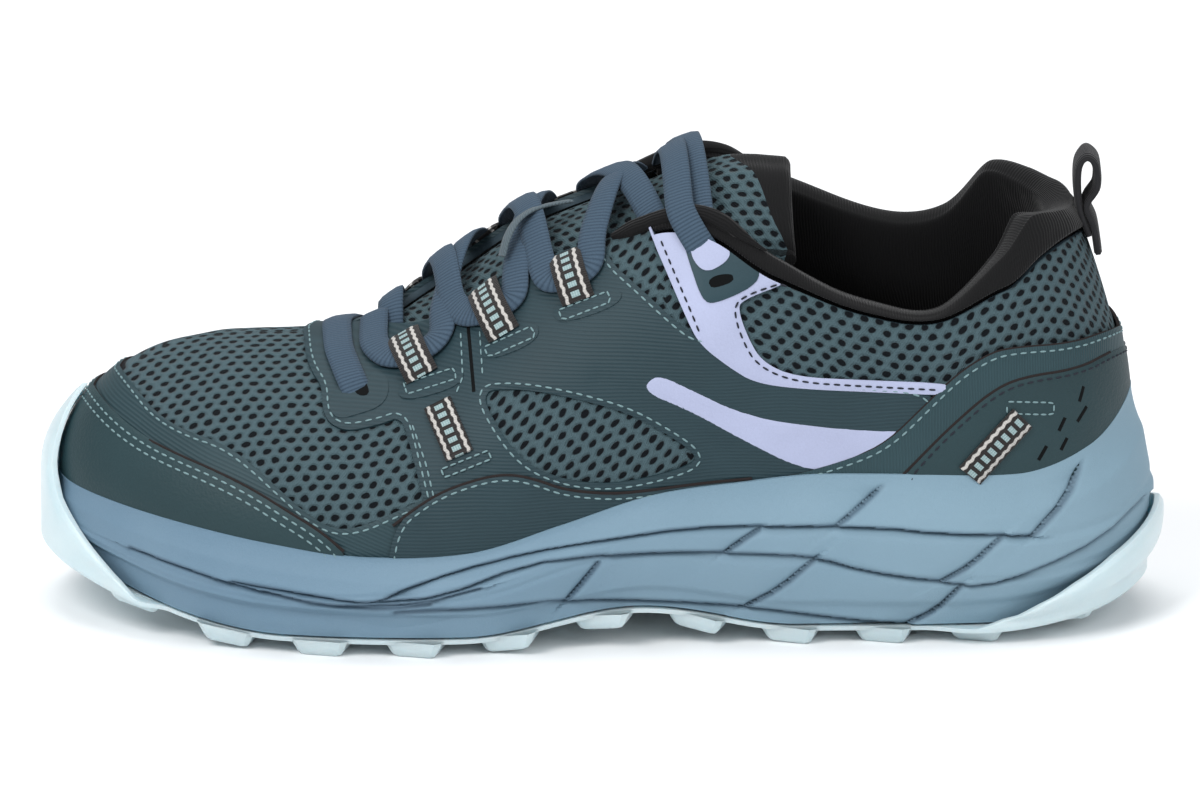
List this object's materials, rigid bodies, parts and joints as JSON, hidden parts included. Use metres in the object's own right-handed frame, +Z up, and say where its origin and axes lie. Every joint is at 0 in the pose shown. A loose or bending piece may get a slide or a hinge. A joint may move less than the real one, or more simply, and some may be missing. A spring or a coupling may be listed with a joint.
{
  "type": "trail running shoe",
  "caption": "Low trail running shoe for the left foot: lugged rubber outsole, foam midsole, hollow mesh upper with overlays, padded collar, tongue, laces and heel pull tab.",
  "frame": {"origin": "on the floor, under the middle of the outsole's box", "axes": "+X towards the heel, -Y to the outer side of the left foot, +Z up"},
  "size_m": [0.2785, 0.1047, 0.117],
  "materials": {
    "tread_rubber": "satin moulded rubber",
    "foam": "matt moulded foam",
    "lining": "matt knit",
    "mesh": "open knitted mesh",
    "overlay": "smooth coated synthetic leather",
    "lace": "flat woven lace",
    "webbing": "woven webbing"
  },
  "bodies": {
    "root": {"outsole": "tread_rubber", "midsole": "foam", "insole": "lining", "upper": "mesh", "collar": "lining", "tongue": "mesh", "toe_cap": "overlay", "toe_strip": "overlay", "eyestay": "overlay", "counter": "overlay", "loop_outer_1": "webbing", "loop_inner_1": "webbing", "loop_outer_2": "webbing", "loop_inner_2": "webbing", "loop_outer_3": "webbing", "loop_inner_3": "webbing", "lace": "lace", "pull_tab": "webbing"}
  },
  "joints": []
}
